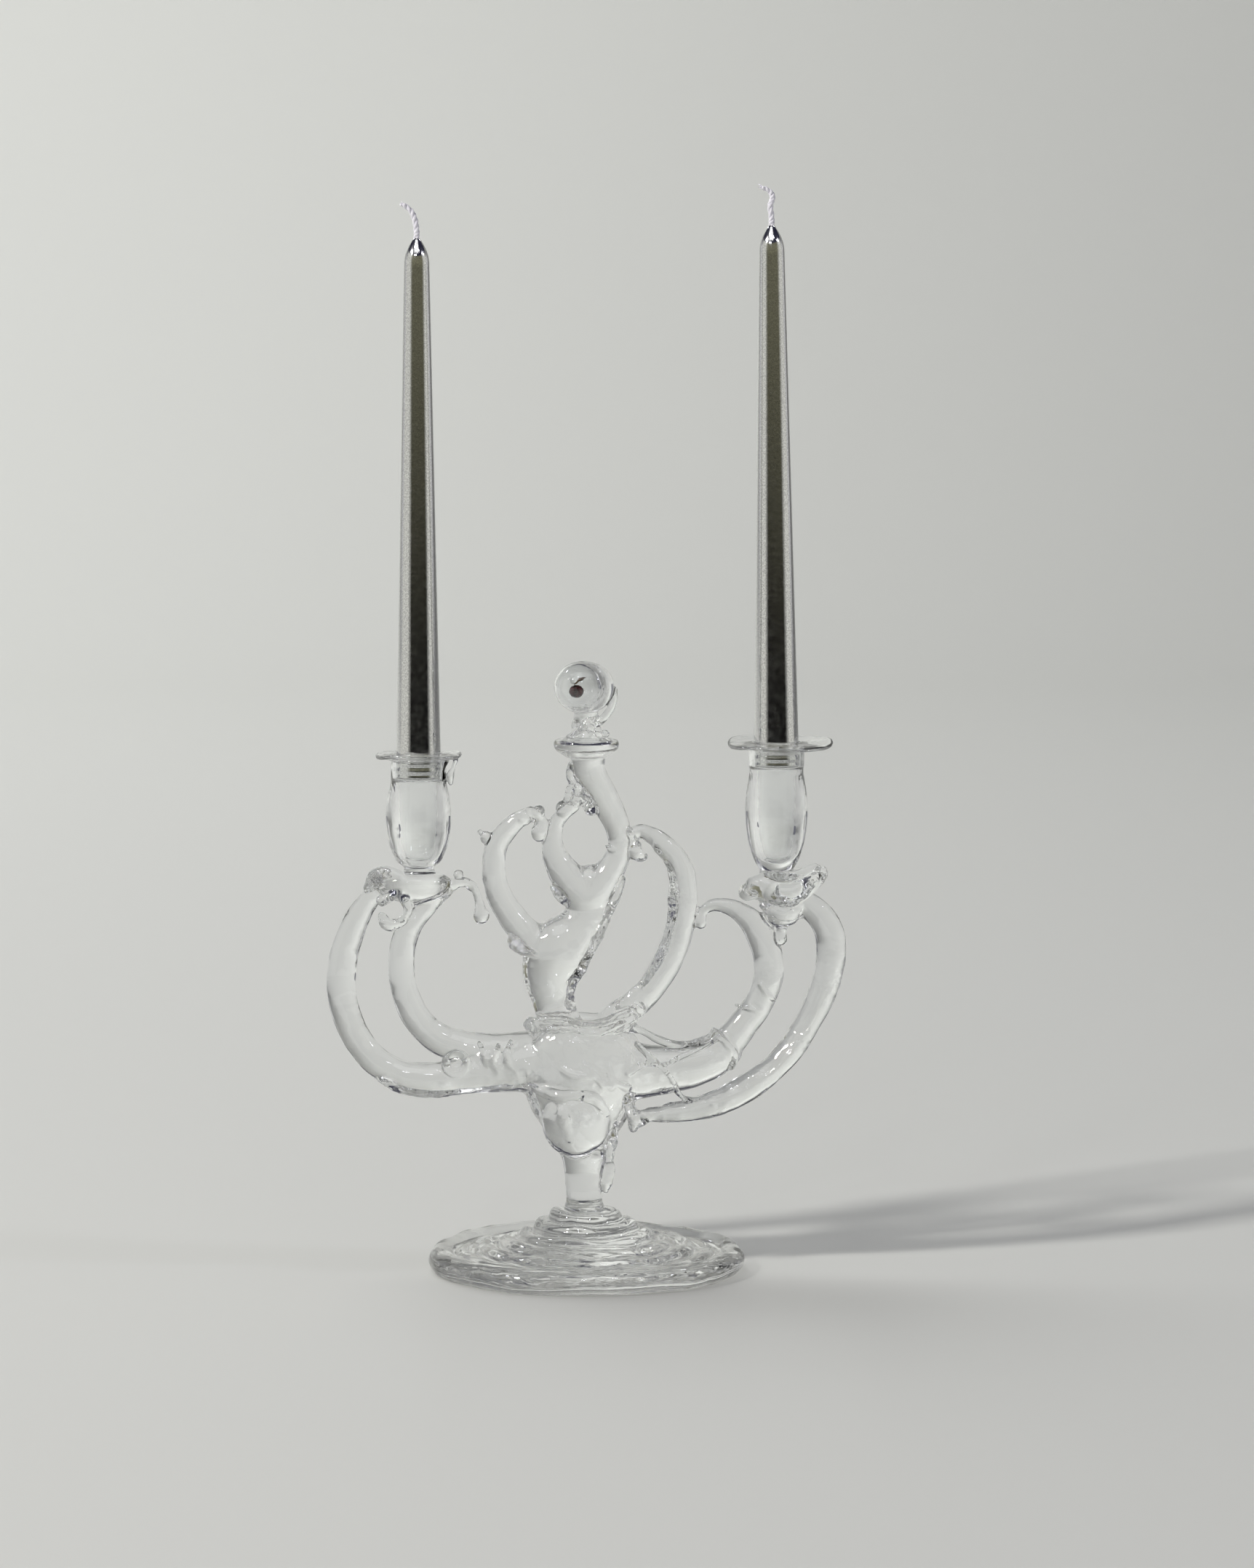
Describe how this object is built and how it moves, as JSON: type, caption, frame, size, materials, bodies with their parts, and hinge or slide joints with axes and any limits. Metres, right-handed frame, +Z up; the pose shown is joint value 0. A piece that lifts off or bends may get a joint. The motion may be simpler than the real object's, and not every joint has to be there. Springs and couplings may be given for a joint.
{
  "type": "glass candelabrum",
  "caption": "Hand-worked clear glass candelabrum: curled arms and horns on a stepped foot, a ball finial, and two silver taper candles that lift out.",
  "frame": {"origin": "on the table, under the middle of the foot", "axes": "+Z up along the stem, +X towards the right-hand candle, -Y the front"},
  "size_m": [0.2471, 0.1512, 0.5156],
  "materials": {
    "clear_glass": "fire-polished clear glass",
    "red_glass": "opaque red glass",
    "amber_glass": "amber glass chip",
    "silver_wax": "metallic silver lacquer on wax",
    "wick_cotton": "braided unburnt cotton"
  },
  "bodies": {
    "candelabra": {"foot": "clear_glass", "stem": "clear_glass", "stem_tear": "clear_glass", "hub": "clear_glass", "front_boss": "clear_glass", "left_outer_arm": "clear_glass", "left_inner_arm": "clear_glass", "left_arm_drop": "clear_glass", "left_saddle": "clear_glass", "left_saddle_fold": "clear_glass", "left_saddle_curl": "clear_glass", "side_prunt": "clear_glass", "left_cup": "clear_glass", "left_flange": "clear_glass", "left_flange_drip": "clear_glass", "right_outer_arm": "clear_glass", "right_socket": "clear_glass", "right_inner_horn": "clear_glass", "right_horn_drop": "clear_glass", "right_saddle": "clear_glass", "right_saddle_frill": "clear_glass", "right_saddle_drop": "clear_glass", "right_cup": "clear_glass", "right_flange": "clear_glass", "crown_wrap": "clear_glass", "crown_wrap_bead": "clear_glass", "crown_trunk": "clear_glass", "left_horn": "clear_glass", "left_horn_seed": "clear_glass", "centre_branch": "clear_glass", "centre_lobe": "clear_glass", "centre_lobe_bead": "clear_glass", "right_horn": "clear_glass", "trunk_trail": "clear_glass", "right_horn_trail": "clear_glass", "neck_disc": "clear_glass", "finial_strands": "clear_glass", "finial_ball": "clear_glass", "charm_clear_bead": "clear_glass", "charm_red_bead": "red_glass", "charm_amber_chip": "amber_glass"},
    "left_candle": {"left_taper": "silver_wax", "left_wick": "wick_cotton"},
    "right_candle": {"right_taper": "silver_wax", "right_wick": "wick_cotton"}
  },
  "joints": [
    {"name": "left_candle_lift", "type": "slide", "parent": "candelabra", "child": "left_candle", "axis": [0, 0, 1], "range_m": [0, 0.06]},
    {"name": "right_candle_lift", "type": "slide", "parent": "candelabra", "child": "right_candle", "axis": [-0.0118, 0, 0.9999], "range_m": [0, 0.06]}
  ]
}
